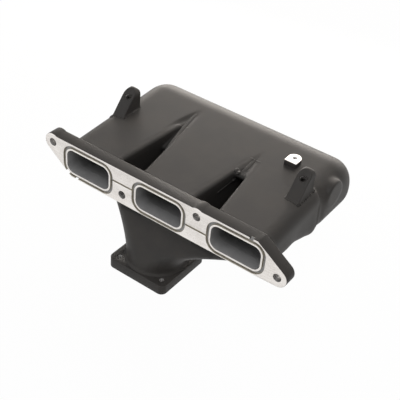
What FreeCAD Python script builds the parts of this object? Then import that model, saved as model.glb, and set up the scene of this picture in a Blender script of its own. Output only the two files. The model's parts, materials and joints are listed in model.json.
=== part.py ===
import FreeCAD, Part
import os
import Sketcher

# Three-runner intake manifold, welded up from plate, ducts and pressed shells.
# Sizes are in millimetres. The shapes are drawn in the head frame: the origin is the centre
# of the middle port on the head face, +X runs along the head flange, +Y into the plenum and
# +Z up. Every finished piece is then seated in the row frame, whose origin is the centre of
# the throttle bore on the throttle-body face.

SIZES = {
    # head flange
    "port_pitch": 92.0,
    "port_width": 56.7,
    "port_height": 27.6,
    "port_corner": 8.5,
    "flange_thickness": 15.0,
    "land_above": 2.4,
    "land_below": 0.8,
    "ear_run": 24.8,
    "ear_radius": 10.4,
    "bolt_overhang": 48.0,
    "bolt_high": 12.5,
    "bolt_low": 8.5,
    "bolt_hole": 9.0,
    # port seal grooves in the head face
    "seal_rim": 2.0,
    "seal_width": 3.2,
    "seal_depth": 2.6,
    "link_width": 2.2,
    "link_depth": 1.6,
    "link_left": 4.0,
    "link_right": 3.2,
    "tab_offset": 16.0,
    "tab_width": 4.0,
    # runners
    "runner_wall": 4.0,
    "runner_step_above": 0.6,
    "runner_step_below": 1.0,
    "runner_outer_corner": 14.0,
    "valley_corner": 8.0,
    "valley_gap": 5.2,
    "valley_end_corner": 5.0,
    "plate_front": 100.0,
    "plate_thickness": 4.0,
    "plate_top": 26.2,
    "plate_depth": 31.0,
    # webs that bridge the valleys between the runners
    "web_length": 29.0,
    "web_thickness": 5.0,
    "web_left_drop": 13.0,
    "web_right_drop": 2.2,
    "web_left_end": 3.2,
    "web_right_end": 1.4,
    "valley_half": 8.0,
    "valley_left_run": 42.0,
    "valley_right_run": 29.0,
    # plenum chamber
    "plenum_length": 79.7,
    "plenum_shift": 1.2,
    "plenum_overhang": 3.15,
    "plenum_step_below": 2.0,
    "plenum_wall": 4.0,
    "back_top_round": 36.0,
    "back_bottom_round": 24.0,
    "back_flat": 1.0,
    "end_round_ease": 1.0,
    "end_cap_depth": 15.5,
    "seam_depth": 5.0,
    "end_pad_radius": 15.0,
    "end_pad_height": 0.8,
    "end_pad_setback": 26.0,
    "end_pad_z": 8.5,
    # inlet duct between the throttle flange and the plenum
    "throttle_x": 26.0,
    "throttle_y": 38.4,
    "throttle_drop": 115.0,
    "throttle_bore": 60.0,
    "throttle_side": 75.6,
    "throttle_corner": 7.0,
    "throttle_thickness": 12.2,
    "throttle_spacing": 57.5,
    "throttle_tapped": 6.2,
    "duct_wall": 3.4,
    "duct_left": 86.0,
    "duct_right": 98.0,
    "duct_gap": 1.0,
    "duct_reach": 30.0,
    "skirt_drop": 2.9,
    "duct_corner": 30.0,
    "duct_flare": 1.9,
    "roof_thickness": 3.0,
    "mouth_setback": 8.0,
    # lifting and bracket lugs
    "lug_inset": 18.0,
    "lug_width": 15.0,
    "lug_reach": 34.5,
    "lug_lean": 45.5,
    "lug_hole_up": 26.2,
    "lug_flat": 2.9,
    "lug_ease": 3.0,
    "lug_sink": 9.0,
    "lug_drill": 6.6,
    "lug_drill_depth": 12.0,
    "insert_length": 10.0,
    # bracket boss
    "boss_inset": 47.8,
    "boss_setback": 21.0,
    "boss_nose": 9.0,
    "boss_rise": 5.5,
    "boss_width": 14.0,
    "boss_drill": 5.0,
    "boss_thread": 3.3,
    "boss_depth": 5.0,
    # shared hardware and beads
    "thread_hole": 5.0,
    "neck_bead": 2.6,
    "neck_bead_land": 0.7,
    "runner_bead": 2.0,
    "bead_above": 0.4,
    "bead_below": 0.8,
    "bead_bite": 0.3,
    # room that a cutting solid takes past what it cuts
    "over": 20.0,
}

DUCT_STATIONS = (0.0, 0.15, 0.3, 0.45, 0.6, 0.75, 0.9, 1.0)

doc = FreeCAD.newDocument("intake_manifold")
sheet = doc.addObject("Spreadsheet::Sheet", "Size")
for row, (alias, number) in enumerate(SIZES.items(), start=1):
    sheet.set(f"A{row}", alias)
    sheet.set(f"B{row}", str(number))
    sheet.setAlias(f"B{row}", alias)
doc.recompute()


def number_of(text):
    """The number that a sheet expression gives."""
    result = sheet.evalExpression(text)
    return float(getattr(result, "Value", result))


def bind(target, **expressions):
    """Bind properties, such as Length or Radius, to expressions."""
    for name, text in expressions.items():
        target.setExpression(name, text)


def place(target, x="0", y="0", z="0"):
    """Bind the place of an object in the head frame."""
    for axis, text in (("x", x), ("y", y), ("z", z)):
        target.setExpression(f"Placement.Base.{axis}", text)


# ---------------------------------------------------------------- sizes that follow others

SEAL_REACH = "(Size.port_height / 2 + Size.seal_rim + Size.seal_width)"
FLANGE_TOP = f"({SEAL_REACH} + Size.land_above)"
FLANGE_BOTTOM = f"({SEAL_REACH} + Size.land_below)"
BOLT_OUTER = "(Size.port_pitch + Size.bolt_overhang)"
BOLT_INNER = "(Size.port_pitch / 2)"
EAR_SHOULDER = f"({BOLT_OUTER} - Size.ear_run)"
RUNNER_TOP = f"({FLANGE_TOP} - Size.runner_step_above)"
RUNNER_DEPTH = f"({FLANGE_BOTTOM} - Size.runner_step_below)"
HALF_FRONT = "(Size.port_width / 2 + Size.runner_wall)"
HALF_BACK = "((Size.port_pitch - Size.valley_gap) / 2)"
WEB_FRONT = "(Size.plate_front - Size.web_length)"
PLENUM_BACK = "(Size.plate_front + Size.plenum_length)"
PLENUM_HALF = f"(Size.port_pitch + {HALF_FRONT} + Size.plenum_overhang)"
PLENUM_LEFT = f"(-{PLENUM_HALF} - Size.plenum_shift)"
PLENUM_RIGHT = f"({PLENUM_HALF} - Size.plenum_shift)"
PLENUM_DEPTH = "(Size.plate_depth + Size.plenum_step_below)"
NECK = "(Size.throttle_bore / 2 + Size.duct_wall)"
NECK_LEVEL = "(Size.throttle_thickness - Size.throttle_drop)"
DUCT_HEIGHT = f"(-{NECK_LEVEL} - {PLENUM_DEPTH} - Size.skirt_drop)"
DUCT_FRONT = "(Size.flange_thickness + Size.duct_gap)"
DUCT_BACK = "(Size.plate_front + Size.duct_reach)"
LUG_LEFT = f"({PLENUM_LEFT} + Size.lug_inset)"
LUG_RIGHT = f"({PLENUM_RIGHT} - Size.lug_inset)"
LUG_FRONT = "(Size.plate_front - Size.lug_reach)"
LUG_RISE = "(Size.lug_hole_up * cos(Size.lug_lean) + Size.lug_width / 2)"
LUG_BACK = f"({LUG_FRONT} + {LUG_RISE} * tan(Size.lug_lean) + Size.lug_flat + Size.lug_ease)"
BOSS_X = f"({PLENUM_RIGHT} - Size.boss_inset)"
BOSS_Y = "(Size.plate_front + Size.boss_setback)"
BOSS_FRONT = f"({BOSS_Y} - Size.boss_nose)"


# ---------------------------------------------------------------- heights of the skin

TOP_SLOPE = f"(Size.plate_top - {RUNNER_TOP}) / (Size.plate_front - Size.flange_thickness)"


def top_at(y):
    """Height of the flat top of runners and plenum at depth y."""
    return f"({RUNNER_TOP} + ({y} - Size.flange_thickness) * {TOP_SLOPE})"


def under_at(y):
    """Height of the runners' underside at depth y."""
    slope = f"(Size.plate_depth - {RUNNER_DEPTH}) / (Size.plate_front - Size.flange_thickness)"
    return f"(-{RUNNER_DEPTH} - ({y} - Size.flange_thickness) * {slope})"


# How far the plenum's top round reaches down its back, and the lower round that is left.
BACK_TOP_REACH = f"(Size.back_top_round * tan(45 deg + atan({TOP_SLOPE}) / 2))"
BACK_HEIGHT = f"({top_at(PLENUM_BACK)} + {PLENUM_DEPTH})"
BACK_BOTTOM = f"min(Size.back_bottom_round; {BACK_HEIGHT} - {BACK_TOP_REACH} - Size.back_flat)"
END_ROUND = f"({BACK_BOTTOM} - Size.end_round_ease)"


# ---------------------------------------------------------------- sketch helpers

def new_body(name):
    return doc.addObject("PartDesign::Body", name)


def sketch_on(body, name, role, offset="0"):
    """A sketch on one of the body's own origin planes, moved along its normal."""
    sketch = body.newObject("Sketcher::SketchObject", name)
    plane = next(item for item in body.Origin.OriginFeatures if item.Role == role)
    sketch.AttachmentSupport = (plane, [""])
    sketch.MapMode = "FlatFace"
    sketch.setExpression("AttachmentOffset.Base.z", offset)
    return sketch


def fix(sketch, kind, *where, to):
    """Add a constraint whose value follows an expression."""
    index = sketch.addConstraint(Sketcher.Constraint(kind, *where, number_of(to)))
    sketch.setExpression(f"Constraints[{index}]", to)


def fix_point(sketch, shape, end, x, y):
    fix(sketch, "DistanceX", -1, 1, shape, end, to=x)
    fix(sketch, "DistanceY", -1, 1, shape, end, to=y)


def draw_circle(sketch, x, y, radius):
    centre = FreeCAD.Vector(number_of(x), number_of(y), 0)
    shape = sketch.addGeometry(Part.Circle(centre, FreeCAD.Vector(0, 0, 1), number_of(radius)))
    fix(sketch, "Radius", shape, to=radius)
    fix_point(sketch, shape, 3, x, y)


def draw_polygon(sketch, corners):
    """A closed polygon through corners given as pairs of expressions."""
    spots = [FreeCAD.Vector(number_of(x), number_of(y), 0) for x, y in corners]
    count = len(spots)
    lines = [sketch.addGeometry(Part.LineSegment(spots[i], spots[(i + 1) % count]))
             for i in range(count)]
    for i, line in enumerate(lines):
        sketch.addConstraint(Sketcher.Constraint("Coincident", line, 2, lines[(i + 1) % count], 1))
        fix_point(sketch, line, 1, *corners[i])


def draw_round_box(sketch, left, right, bottom, top, corners):
    """A rectangle with rounded corners; corners are radii from bottom left, anticlockwise."""
    l, r, b, t = (number_of(text) for text in (left, right, bottom, top))
    radii = [number_of(text) for text in corners]
    arcs_at = ((l + radii[0], b + radii[0]), (r - radii[1], b + radii[1]),
               (r - radii[2], t - radii[2]), (l + radii[3], t - radii[3]))
    sides = (((l + radii[0], b), (r - radii[1], b)), ((r, b + radii[1]), (r, t - radii[2])),
             ((r - radii[2], t), (l + radii[3], t)), ((l, t - radii[3]), (l, b + radii[0])))
    half_pi = 1.5707963267948966
    normal = FreeCAD.Vector(0, 0, 1)
    lines = [sketch.addGeometry(Part.LineSegment(FreeCAD.Vector(*a, 0), FreeCAD.Vector(*c, 0)))
             for a, c in sides]
    arcs = []
    for i, (x, y) in enumerate(arcs_at):
        ring = Part.Circle(FreeCAD.Vector(x, y, 0), normal, radii[i])
        arcs.append(sketch.addGeometry(Part.ArcOfCircle(ring, (i + 2) * half_pi, (i + 3) * half_pi)))
    for i in range(4):
        following = (i + 1) % 4
        sketch.addConstraint(Sketcher.Constraint("Tangent", arcs[i], 2, lines[i], 1))
        sketch.addConstraint(Sketcher.Constraint("Tangent", lines[i], 2, arcs[following], 1))
        fix(sketch, "Radius", arcs[i], to=corners[i])
    for i in (0, 2):
        sketch.addConstraint(Sketcher.Constraint("Horizontal", lines[i]))
        sketch.addConstraint(Sketcher.Constraint("Vertical", lines[i + 1]))
    fix(sketch, "DistanceY", -1, 1, lines[0], 1, to=bottom)
    fix(sketch, "DistanceX", -1, 1, lines[1], 1, to=right)
    fix(sketch, "DistanceY", -1, 1, lines[2], 1, to=top)
    fix(sketch, "DistanceX", -1, 1, lines[3], 1, to=left)


# ---------------------------------------------------------------- feature helpers

def pad(body, sketch, length, backwards=False):
    feature = body.newObject("PartDesign::Pad", sketch.Name + "_pad")
    feature.Profile = sketch
    feature.Reversed = backwards
    feature.setExpression("Length", length)
    return feature


def pocket(body, sketch, depth, backwards=False):
    feature = body.newObject("PartDesign::Pocket", sketch.Name + "_pocket")
    feature.Profile = sketch
    feature.Reversed = backwards
    feature.setExpression("Length", depth)
    return feature


def loft(body, kind, sections):
    feature = body.newObject(f"PartDesign::{kind}Loft", sections[0].Name + "_loft")
    feature.Profile = sections[0]
    feature.Sections = list(sections[1:])
    return feature


def join(kind, name, base, tool):
    """A Part::Cut or Part::Common of two solids."""
    feature = doc.addObject(f"Part::{kind}", name)
    feature.Base = base
    feature.Tool = tool
    return feature


def cut(name, base, tool):
    return join("Cut", name, base, tool)


def common(name, base, tool):
    return join("Common", name, base, tool)


def fuse(name, parts):
    feature = doc.addObject("Part::MultiFuse", name)
    feature.Shapes = parts
    return feature


def group(name, parts):
    """Separate solids that share one node."""
    feature = doc.addObject("Part::Compound", name)
    feature.Links = parts
    return feature


def block(name, x, y, z):
    """A box between pairs of expressions."""
    solid = doc.addObject("Part::Box", name)
    bind(solid, Length=f"({x[1]}) - ({x[0]})", Width=f"({y[1]}) - ({y[0]})",
         Height=f"({z[1]}) - ({z[0]})")
    place(solid, x[0], y[0], z[0])
    return solid


def prism(name, left, right, corners):
    """A polygon in Y and Z drawn out from left to right."""
    body = new_body(name)
    sketch = sketch_on(body, name + "_side", "YZ_Plane", left)
    draw_polygon(sketch, corners)
    pad(body, sketch, f"({right}) - ({left})")
    return body


NODES = []


def seat(piece, x="0", y="0", z="0"):
    """Set a finished piece, placed in the head frame, into the row frame."""
    place(piece, f"Size.throttle_x + ({x})", f"({y}) - Size.throttle_y",
          f"Size.throttle_drop + ({z})")
    piece.Label = piece.Name
    NODES.append(piece)


PORTS = (("1", "-Size.port_pitch"), ("2", "0"), ("3", "Size.port_pitch"))
ALL_X = (f"-{PLENUM_HALF} - Size.over", f"{PLENUM_HALF} + Size.over")
ALL_Z = ("-Size.throttle_drop - Size.over", "Size.plate_top + 2 * Size.over")


# ---------------------------------------------------------------- head flange

def ear_tangent(drop):
    """Where the slanted edge from the shoulder touches the ear's round, from its centre.

    The shoulder lies one run nearer the middle of the flange, a drop away in height.
    """
    run = f"({BOLT_OUTER} - {EAR_SHOULDER})"
    square = f"({run}^2 + {drop}^2)"
    reach = f"sqrt({square} - Size.ear_radius^2)"
    outward = f"Size.ear_radius * ({drop} * {reach} - {run} * Size.ear_radius) / {square}"
    rise = f"Size.ear_radius * ({drop} * Size.ear_radius + {run} * {reach}) / {square}"
    return outward, rise


def head_flange():
    body = new_body("head_flange")
    plate = sketch_on(body, "flange_outline", "XZ_Plane")
    right_out, right_rise = ear_tangent(f"({FLANGE_TOP} + Size.bolt_low)")
    low_out, low_fall = ear_tangent(f"({FLANGE_BOTTOM} - Size.bolt_low)")
    left_out, left_fall = ear_tangent(f"({FLANGE_BOTTOM} + Size.bolt_high)")
    draw_polygon(plate, [
        (f"-{BOLT_OUTER}", FLANGE_TOP), (EAR_SHOULDER, FLANGE_TOP),
        (f"{BOLT_OUTER} + {right_out}", f"-Size.bolt_low + {right_rise}"),
        (f"{BOLT_OUTER} + {low_out}", f"-Size.bolt_low - {low_fall}"),
        (EAR_SHOULDER, f"-{FLANGE_BOTTOM}"), (f"-{EAR_SHOULDER}", f"-{FLANGE_BOTTOM}"),
        (f"-{BOLT_OUTER} - {left_out}", f"Size.bolt_high - {left_fall}")])
    pad(body, plate, "Size.flange_thickness", backwards=True)
    holes = ((f"-{BOLT_OUTER}", "Size.bolt_high"), (BOLT_INNER, "Size.bolt_high"),
             (f"-{BOLT_INNER}", "-Size.bolt_low"), (BOLT_OUTER, "-Size.bolt_low"))
    for number, (x, z) in enumerate(holes, start=1):
        if number in (1, 2, 4):
            boss = sketch_on(body, f"bolt_boss_{number}", "XZ_Plane")
            draw_circle(boss, x, z, "Size.ear_radius")
            pad(body, boss, "Size.flange_thickness", backwards=True)
    drilled = sketch_on(body, "bolt_holes", "XZ_Plane")
    for x, z in holes:
        draw_circle(drilled, x, z, "Size.bolt_hole / 2")
    pocket(body, drilled, "Size.flange_thickness")
    ports = sketch_on(body, "ports", "XZ_Plane")
    for number, x in PORTS:
        draw_port(ports, x, "0")
    pocket(body, ports, "Size.flange_thickness")
    seals = sketch_on(body, "seal_grooves", "XZ_Plane")
    for number, x in PORTS:
        draw_port(seals, x, "Size.seal_rim")
        draw_port(seals, x, "(Size.seal_rim + Size.seal_width)")
    pocket(body, seals, "Size.seal_depth")
    links = sketch_on(body, "link_grooves", "XZ_Plane")
    inner_end = "(Size.port_width / 2 + Size.seal_rim + Size.seal_width / 2)"
    for side, height in ((-1, "Size.link_left"), (1, "-Size.link_right")):
        near = f"{side} * {inner_end}"
        far = f"{side} * (Size.port_pitch - {inner_end})"
        draw_polygon(links, [(near, f"{height} - Size.link_width / 2"),
                             (far, f"{height} - Size.link_width / 2"),
                             (far, f"{height} + Size.link_width / 2"),
                             (near, f"{height} + Size.link_width / 2")])
    pocket(body, links, "Size.link_depth")
    tabs = sketch_on(body, "seal_tabs", "XZ_Plane")
    for side, edge in ((-1, f"-{FLANGE_BOTTOM}"), (1, FLANGE_TOP)):
        middle = f"{side} * (Size.port_pitch + Size.tab_offset)"
        start = f"{side} * (Size.port_height / 2 + Size.seal_rim + Size.seal_width / 2)"
        draw_polygon(tabs, [(f"{middle} - Size.tab_width / 2", start),
                            (f"{middle} + Size.tab_width / 2", start),
                            (f"{middle} + Size.tab_width / 2", f"{edge} + {side}"),
                            (f"{middle} - Size.tab_width / 2", f"{edge} + {side}")])
    pocket(body, tabs, "Size.seal_depth")
    seat(body)


def draw_port(sketch, x, margin):
    """The port's outline, grown by a margin."""
    corner = f"Size.port_corner + {margin}"
    half_width = f"(Size.port_width / 2 + {margin})"
    half_height = f"(Size.port_height / 2 + {margin})"
    draw_round_box(sketch, f"{x} - {half_width}", f"{x} + {half_width}",
                   f"-{half_height}", half_height, [corner] * 4)


# ---------------------------------------------------------------- runners

def runner_sides(number, x):
    """Left and right edges of a runner at the flange and at the plate, and its corners."""
    front = [f"{x} - {HALF_FRONT}", f"{x} + {HALF_FRONT}"]
    back = [f"{x} - {HALF_BACK}", f"{x} + {HALF_BACK}"]
    front_corners = ["Size.valley_corner"] * 4
    back_corners = ["Size.valley_end_corner"] * 4
    if number == "1":
        back[0] = front[0]
    if number == "3":
        back[1] = front[1]
    for corner in {"1": (0, 3), "2": (), "3": (1, 2)}[number]:
        front_corners[corner] = "Size.runner_outer_corner"
        back_corners[corner] = "Size.runner_outer_corner"
    return front, back, front_corners, back_corners


def runner_solid(number, x):
    """The runner's outside as a full solid."""
    front, back, front_corners, back_corners = runner_sides(number, x)
    body = new_body(f"runner_{number}_outside")
    at_flange = sketch_on(body, f"runner_{number}_at_flange", "XZ_Plane", "-Size.flange_thickness")
    draw_round_box(at_flange, *front, f"-{RUNNER_DEPTH}", RUNNER_TOP, front_corners)
    at_plate = sketch_on(body, f"runner_{number}_at_plate", "XZ_Plane", "-Size.plate_front")
    draw_round_box(at_plate, *back, "-Size.plate_depth", "Size.plate_top", back_corners)
    loft(body, "Additive", (at_flange, at_plate))
    return body


def runner_bore(number, x):
    """The air path through a runner and the plenum plate behind it."""
    front, back, front_corners, back_corners = runner_sides(number, x)
    wall = "Size.runner_wall"
    body = new_body(f"runner_{number}_inside")
    at_flange = sketch_on(body, f"bore_{number}_at_flange", "XZ_Plane", "-Size.flange_thickness")
    draw_port(at_flange, x, "0")
    at_plate = sketch_on(body, f"bore_{number}_at_plate", "XZ_Plane", "-Size.plate_front")
    corners = ["Size.port_corner"] * 4
    draw_round_box(at_plate, f"{back[0]} + {wall}", f"{back[1]} - {wall}",
                   f"-Size.plate_depth + {wall}", f"Size.plate_top - {wall}", corners)
    loft(body, "Additive", (at_flange, at_plate))
    through = sketch_on(body, f"bore_{number}_through_plate", "XZ_Plane", "-Size.plate_front")
    draw_round_box(through, f"{back[0]} + {wall}", f"{back[1]} - {wall}",
                   f"-Size.plate_depth + {wall}", f"Size.plate_top - {wall}", corners)
    pad(body, through, "Size.plate_thickness", backwards=True)
    return body


def runner_weld(number, x, runner):
    """The bead between a runner and the back of the head flange."""
    front, back, corners, back_corners = runner_sides(number, x)
    body = new_body(f"bead_{number}")
    grow = "Size.runner_bead"
    bite = "Size.bead_bite"
    root = sketch_on(body, f"bead_{number}_root", "XZ_Plane", "-Size.flange_thickness")
    draw_round_box(root, f"{front[0]} - {grow}", f"{front[1]} + {grow}",
                   f"-{RUNNER_DEPTH} - Size.bead_below", f"{RUNNER_TOP} + Size.bead_above",
                   [f"{corner} + {grow} / 2" for corner in corners])
    toe = sketch_on(body, f"bead_{number}_toe", "XZ_Plane", f"-Size.flange_thickness - {grow}")
    draw_round_box(toe, f"{front[0]} + {bite}", f"{front[1]} - {bite}",
                   f"-{RUNNER_DEPTH} + {bite}", f"{RUNNER_TOP} - {bite}", corners)
    loft(body, "Additive", (root, toe))
    return cut(f"bead_{number}_ring", body, runner)


def runners():
    """Three runners, and the beads that join them to the head flange."""
    outsides = {number: runner_solid(number, x) for number, x in PORTS}
    insides = {number: runner_bore(number, x) for number, x in PORTS}
    for number, x in PORTS:
        seat(cut(f"runner_{number}", outsides[number], insides[number]))
    beads = [runner_weld(number, x, outsides[number]) for number, x in PORTS]
    seat(group("runner_welds", beads))
    return outsides, insides


def runner_web(name, side, front_drop, back_drop, outsides):
    """A web across the valley between two runners, its top falling towards the flange."""
    x = f"{side} * Size.port_pitch / 2"
    front_top = f"{top_at(WEB_FRONT)} - {front_drop}"
    back_top = f"Size.plate_top - {back_drop}"
    reach = "(Size.valley_gap / 2 + Size.valley_corner + Size.runner_wall)"
    strip = prism(name + "_strip", f"{x} - {reach}", f"{x} + {reach}", [
        (WEB_FRONT, f"{front_top} - Size.web_thickness"),
        ("Size.plate_front", f"{back_top} - Size.web_thickness"),
        ("Size.plate_front", back_top), (WEB_FRONT, front_top)])
    seat(cut(name, strip, fuse(name + "_neighbours", outsides)))


# ---------------------------------------------------------------- plenum

def rounded_edges(shape, wanted):
    """Names of the edges whose middle and ends meet a test."""
    names = []
    for index, edge in enumerate(shape.Edges, start=1):
        middle = edge.valueAt((edge.FirstParameter + edge.LastParameter) / 2)
        if all(wanted(spot) for spot in [middle] + [vertex.Point for vertex in edge.Vertexes]):
            names.append(f"Edge{index}")
    return names


def fillet(body, base, radius, wanted):
    doc.recompute()
    feature = body.newObject("PartDesign::Fillet", base.Name + "_round")
    feature.Base = (base, rounded_edges(base.Shape, wanted))
    feature.setExpression("Radius", radius)
    return feature


def chamber(name, inset):
    """The plenum's outside, or its air space when inset by the wall."""
    left = f"({PLENUM_LEFT} + {inset})"
    right = f"({PLENUM_RIGHT} - {inset})"
    back = f"({PLENUM_BACK} - {inset})"
    floor = f"(-{PLENUM_DEPTH} + {inset})"
    body = prism(name, left, right, [
        ("Size.plate_front", floor), (back, floor), (back, f"{top_at(back)} - {inset}"),
        ("Size.plate_front", f"Size.plate_top - {inset}")])
    rear, level = number_of(back), number_of(floor)
    ends = (number_of(left), number_of(right))
    near = 0.01
    lower = fillet(body, body.Tip, f"{BACK_BOTTOM} - {inset}",
                   lambda p: abs(p.y - rear) < near and abs(p.z - level) < near)
    upper = fillet(body, lower, f"Size.back_top_round - {inset}",
                   lambda p: abs(p.y - rear) < near and p.z > 0)
    front = number_of("Size.plate_front")
    fillet(body, upper, f"{END_ROUND} - {inset}",
           lambda p: min(abs(p.x - end) for end in ends) < near and abs(p.y - front) > near)
    return body


def valley_groove(name, side, back_drop, run):
    """The valley's shallow end in the top of the plenum, running out to nothing."""
    x = f"{side} * Size.port_pitch / 2"
    clear = "Size.runner_bead"
    apex = f"(Size.plate_front + {run})"
    body = new_body(name)
    mouth = sketch_on(body, name + "_mouth", "XZ_Plane", "-Size.plate_front")
    tail = sketch_on(body, name + "_tail", "XZ_Plane", f"-{apex}")
    end_top = top_at(apex)
    for sketch, half, level, depth in ((mouth, "Size.valley_half", "Size.plate_top", back_drop),
                                       (tail, "Size.valley_half / 40", end_top, "0.02")):
        draw_polygon(sketch, [(f"{x} - {half}", f"{level} + {clear}"), (x, f"{level} - {depth}"),
                              (f"{x} + {half}", f"{level} + {clear}")])
    loft(body, "Additive", (mouth, tail))
    return body


def plenum(outsides, insides, duct_inside):
    """The plenum plate, its two end caps and its two shells. Gives the outside back."""
    outside = chamber("chamber_outside", "0")
    inside = chamber("chamber_inside", "Size.plenum_wall")
    behind_plate = "Size.plate_front + Size.plate_thickness"
    all_y = ("Size.plate_front - Size.over", f"{PLENUM_BACK} + Size.over")
    plate_slab = block("plate_slab", ALL_X, (all_y[0], behind_plate), ALL_Z)
    middle = (f"({PLENUM_LEFT} + Size.end_cap_depth)", f"({PLENUM_RIGHT} - Size.end_cap_depth)")
    left_slab = block("left_slab", (ALL_X[0], middle[0]), (behind_plate, all_y[1]), ALL_Z)
    right_slab = block("right_slab", (middle[1], ALL_X[1]), (behind_plate, all_y[1]), ALL_Z)
    above = block("above_seam", middle, (behind_plate, all_y[1]), ("-Size.seam_depth", ALL_Z[1]))
    below = block("below_seam", middle, (behind_plate, all_y[1]), (ALL_Z[0], "-Size.seam_depth"))
    grooves = fuse("valley_grooves", [
        valley_groove("groove_left", -1, "Size.web_left_end", "Size.valley_left_run"),
        valley_groove("groove_right", 1, "Size.web_right_end", "Size.valley_right_run")])

    plate = common("plate_uncut", outside, plate_slab)
    bores = fuse("runner_bores", list(insides.values()))
    seat(cut("runner_plate", cut("plate_bored", plate, bores), grooves))
    left = common("left_cap_solid", outside, left_slab)
    seat(cut("plenum_end_left", left, inside))
    pad_disc = end_pad()
    right = fuse("right_cap_solid", [common("right_cap_round", outside, right_slab), pad_disc])
    seat(cut("plenum_end_right", right, inside))
    upper = cut("upper_uncut", common("upper_solid", outside, above), inside)
    seat(cut("plenum_upper_shell", upper, grooves))
    lower = cut("lower_uncut", common("lower_solid", outside, below), inside)
    mouth_front = "Size.plate_front + Size.mouth_setback"
    mouth = common("duct_mouth", duct_inside,
                   block("mouth_room", ALL_X, (mouth_front, all_y[1]), ALL_Z))
    seat(cut("plenum_lower_shell", lower, mouth))
    return outside


def end_pad():
    """A plain raised round pad on the right end of the plenum."""
    disc = doc.addObject("Part::Cylinder", "end_pad_disc")
    bind(disc, Radius="Size.end_pad_radius", Height="Size.end_cap_depth / 2 + Size.end_pad_height")
    disc.Placement.Rotation = FreeCAD.Rotation(FreeCAD.Vector(0, 1, 0), 90)
    place(disc, f"{PLENUM_RIGHT} - Size.end_cap_depth / 2",
          "Size.plate_front + Size.end_pad_setback", "Size.end_pad_z")
    return disc


# ---------------------------------------------------------------- inlet duct

def duct_solid(name, inset):
    """The duct's outside, or its air path when inset: a round neck flaring to a wide skirt."""
    body = new_body(name)
    edges = ((f"-(Size.throttle_x + {NECK})", "-Size.duct_left"),
             (f"({NECK} - Size.throttle_x)", "Size.duct_right"),
             (f"(Size.throttle_y - {NECK})", DUCT_FRONT),
             (f"(Size.throttle_y + {NECK})", DUCT_BACK))
    sections = []
    for index, station in enumerate(DUCT_STATIONS):
        blend = f"({station}^Size.duct_flare)"
        left, right, front, back = (f"{start} + ({end} - {start}) * {blend}"
                                    for start, end in edges)
        corner = f"{NECK} - 0.1 + (Size.duct_corner - {NECK}) * {blend} - {inset}"
        sketch = sketch_on(body, f"{name}_{index}", "XY_Plane",
                           f"{NECK_LEVEL} + {station} * {DUCT_HEIGHT}")
        draw_round_box(sketch, f"{left} + {inset}", f"{right} - {inset}",
                       f"{front} + {inset}", f"{back} - {inset}", [corner] * 4)
        sections.append(sketch)
    loft(body, "Additive", sections)
    skirt = sketch_on(body, name + "_skirt", "XY_Plane", f"{NECK_LEVEL} + {DUCT_HEIGHT}")
    draw_round_box(skirt, f"-Size.duct_left + {inset}", f"Size.duct_right - {inset}",
                   f"{DUCT_FRONT} + {inset}", f"{DUCT_BACK} - {inset}",
                   [f"Size.duct_corner - 0.1 - {inset}"] * 4)
    pad(body, skirt, f"-({NECK_LEVEL}) - {DUCT_HEIGHT} - {RUNNER_DEPTH} + Size.over / 2")
    return body


def under_prism(name, drop, floor):
    """Everything above the runners' underside, lowered by a drop, and above the plenum floor."""
    start = "-Size.over"
    front = "Size.plate_front"
    end = f"{PLENUM_BACK} + Size.over"
    return prism(name, ALL_X[0], ALL_X[1], [
        (start, f"{under_at(start)} - {drop}"), (front, f"{under_at(front)} - {drop}"),
        (front, floor), (end, floor), (end, ALL_Z[1]), (start, ALL_Z[1])])


def inlet_duct(outside, inside):
    """The duct's front and rear halves, the roof under the runners, and the neck bead."""
    wall = cut("duct_wall", outside, inside)
    open_top = cut("duct_open_top", wall, under_prism("above_duct", "Size.roof_thickness",
                                                      f"-{PLENUM_DEPTH}"))
    for name, span in (("inlet_duct_front", ("-Size.over", "Size.throttle_y")),
                       ("inlet_duct_rear", ("Size.throttle_y", f"{DUCT_BACK} + Size.over"))):
        seat(common(name, open_top, block(name + "_room", ALL_X, span, ALL_Z)))
    start = "-Size.over"
    front = "Size.plate_front"
    slab = prism("roof_slab", ALL_X[0], ALL_X[1], [
        (start, f"{under_at(start)} - Size.roof_thickness"),
        (front, f"{under_at(front)} - Size.roof_thickness"),
        (front, under_at(front)), (start, under_at(start))])
    seat(common("duct_roof", outside, slab))
    cone = doc.addObject("Part::Cone", "neck_cone")
    bind(cone, Radius1=f"{NECK} + Size.neck_bead", Radius2=f"{NECK} + Size.neck_bead_land",
         Height="Size.neck_bead")
    place(cone, "-Size.throttle_x", "Size.throttle_y", NECK_LEVEL)
    seat(cut("throttle_flange_weld", cone, outside))


def throttle_pattern():
    """Centres of the four throttle-body bolts."""
    half = "Size.throttle_spacing / 2"
    return [(f"-Size.throttle_x + {i} * {half}", f"Size.throttle_y + {j} * {half}")
            for i, j in ((-1, -1), (1, -1), (1, 1), (-1, 1))]


def throttle_flange():
    body = new_body("throttle_flange")
    outline = sketch_on(body, "throttle_outline", "XY_Plane", "-Size.throttle_drop")
    half = "Size.throttle_side / 2"
    draw_round_box(outline, f"-Size.throttle_x - {half}", f"-Size.throttle_x + {half}",
                   f"Size.throttle_y - {half}", f"Size.throttle_y + {half}",
                   ["Size.throttle_corner"] * 4)
    pad(body, outline, "Size.throttle_thickness")
    drilled = sketch_on(body, "throttle_drilled", "XY_Plane", "-Size.throttle_drop")
    draw_circle(drilled, "-Size.throttle_x", "Size.throttle_y", "Size.throttle_bore / 2")
    for x, y in throttle_pattern():
        draw_circle(drilled, x, y, "Size.throttle_tapped / 2")
    pocket(body, drilled, "Size.throttle_thickness", backwards=True)
    seat(body)


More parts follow.
